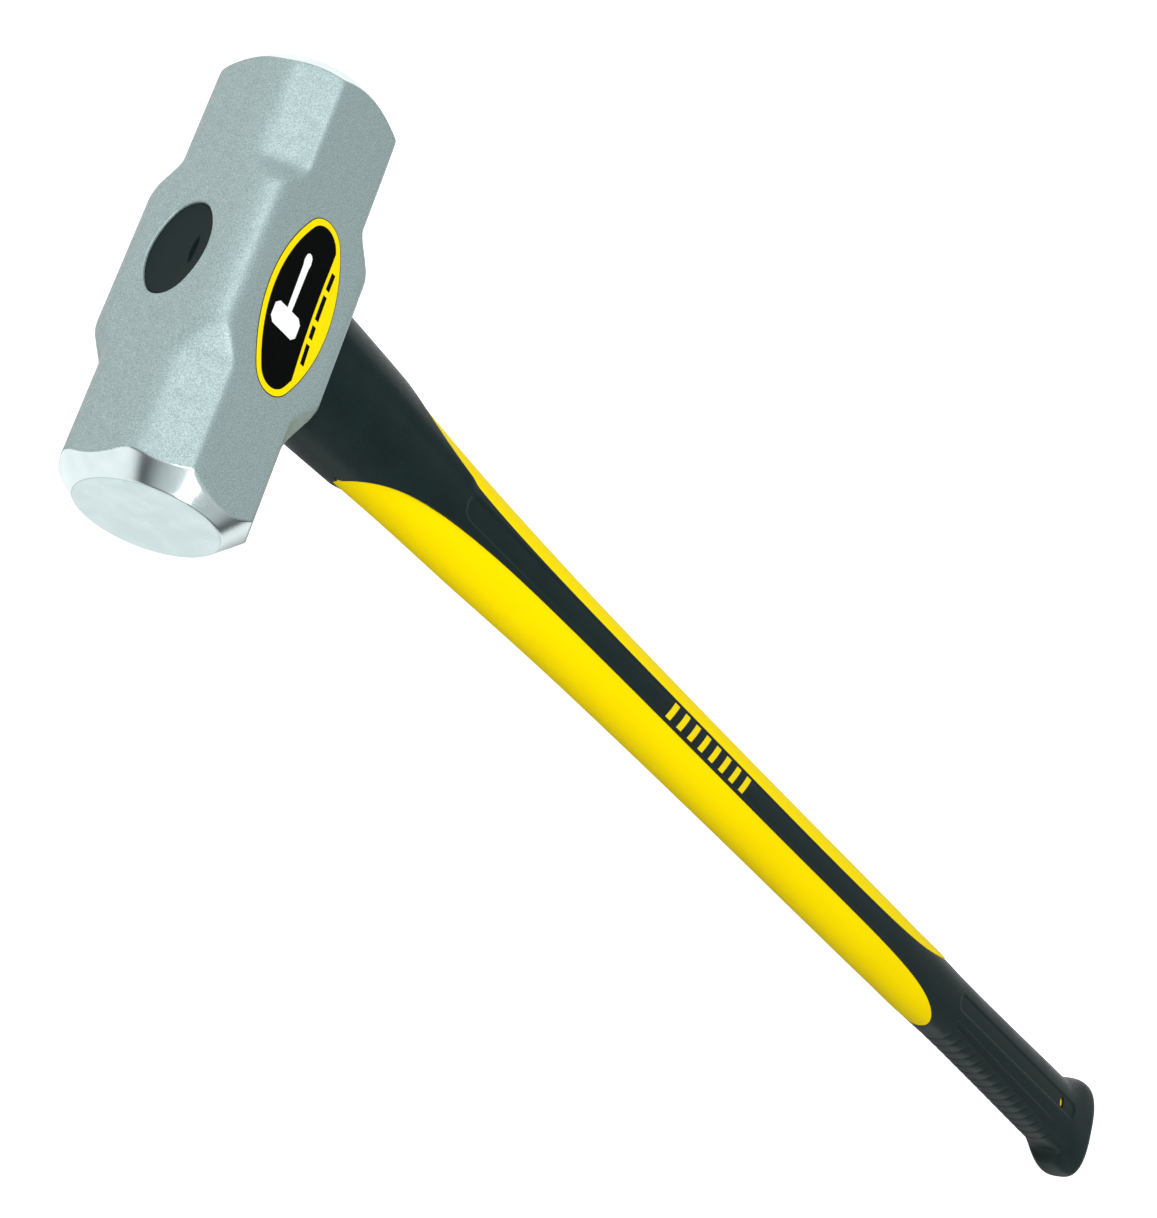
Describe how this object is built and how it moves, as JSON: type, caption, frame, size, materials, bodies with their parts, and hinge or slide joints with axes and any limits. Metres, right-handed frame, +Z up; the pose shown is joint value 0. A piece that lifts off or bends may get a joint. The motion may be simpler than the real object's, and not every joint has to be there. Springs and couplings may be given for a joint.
{
  "type": "sledgehammer",
  "caption": "Long-handled double-faced sledgehammer: forged octagonal head, oval eye, moulded core handle with rubber grip and flared knob.",
  "frame": {"origin": "centre of the lower cheek of the head, directly under the centre of the head; the hammer lies on that cheek", "axes": "+X runs along the handle from the head to the knob, +Y along the striking axis, +Z up through the cheek that carries the label"},
  "size_m": [0.914, 0.1774, 0.0618],
  "materials": {
    "forged_steel": "fine speckled silver paint over forged steel, bare polished striking faces",
    "black_rubber": "matt moulded elastomer",
    "yellow_plastic": "smooth moulded plastic, satin",
    "glass_fibre": "pultruded glass fibre, matt",
    "resin": "cast epoxy",
    "label": "printed film"
  },
  "bodies": {
    "root": {"head": "forged_steel", "eye_resin": "resin", "eye_cap": "black_rubber", "core_rod": "glass_fibre", "handle_jacket": "yellow_plastic", "overmould": "black_rubber", "head_label": "label", "strip_mark": "label"}
  },
  "joints": []
}
